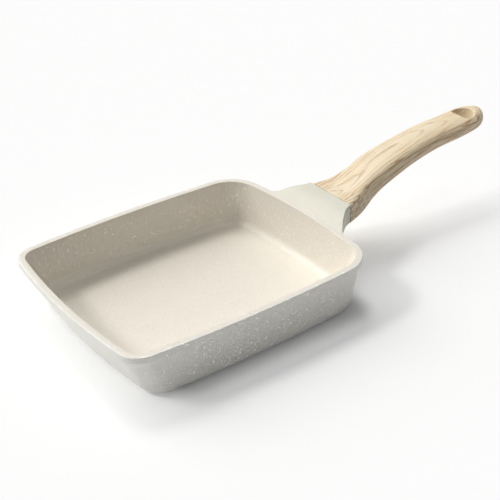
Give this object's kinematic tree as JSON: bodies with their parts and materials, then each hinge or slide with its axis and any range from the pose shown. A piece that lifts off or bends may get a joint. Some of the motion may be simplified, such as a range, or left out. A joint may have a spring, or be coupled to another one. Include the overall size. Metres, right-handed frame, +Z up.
{
  "type": "rectangular_omelette_pan",
  "caption": "Rectangular rolled-omelette pan with bowed sloping walls, a banded rim, a flared neck and a curved wooden grip with a hanging eye.",
  "frame": {"origin": "centre of the flat underside, on the surface that the pan stands on", "axes": "+X along the handle, +Y towards the far long side, +Z up"},
  "size_m": [0.353, 0.1584, 0.0676],
  "materials": {
    "speckled_coat": "satin",
    "stainless_plate": "satin",
    "zinc_steel": "satin",
    "neck_enamel": "satin",
    "ash_wood": "matte"
  },
  "bodies": {
    "root": {"pan_body": "speckled_coat", "induction_plate": "stainless_plate", "handle_bracket": "zinc_steel", "bracket_screws": "zinc_steel", "lock_washers": "zinc_steel", "tongue_nuts": "zinc_steel", "neck_base": "neck_enamel", "neck_cover": "neck_enamel", "cover_screws": "zinc_steel", "handle_grip": "ash_wood", "grip_screws": "zinc_steel", "grip_washers": "zinc_steel"}
  },
  "joints": []
}
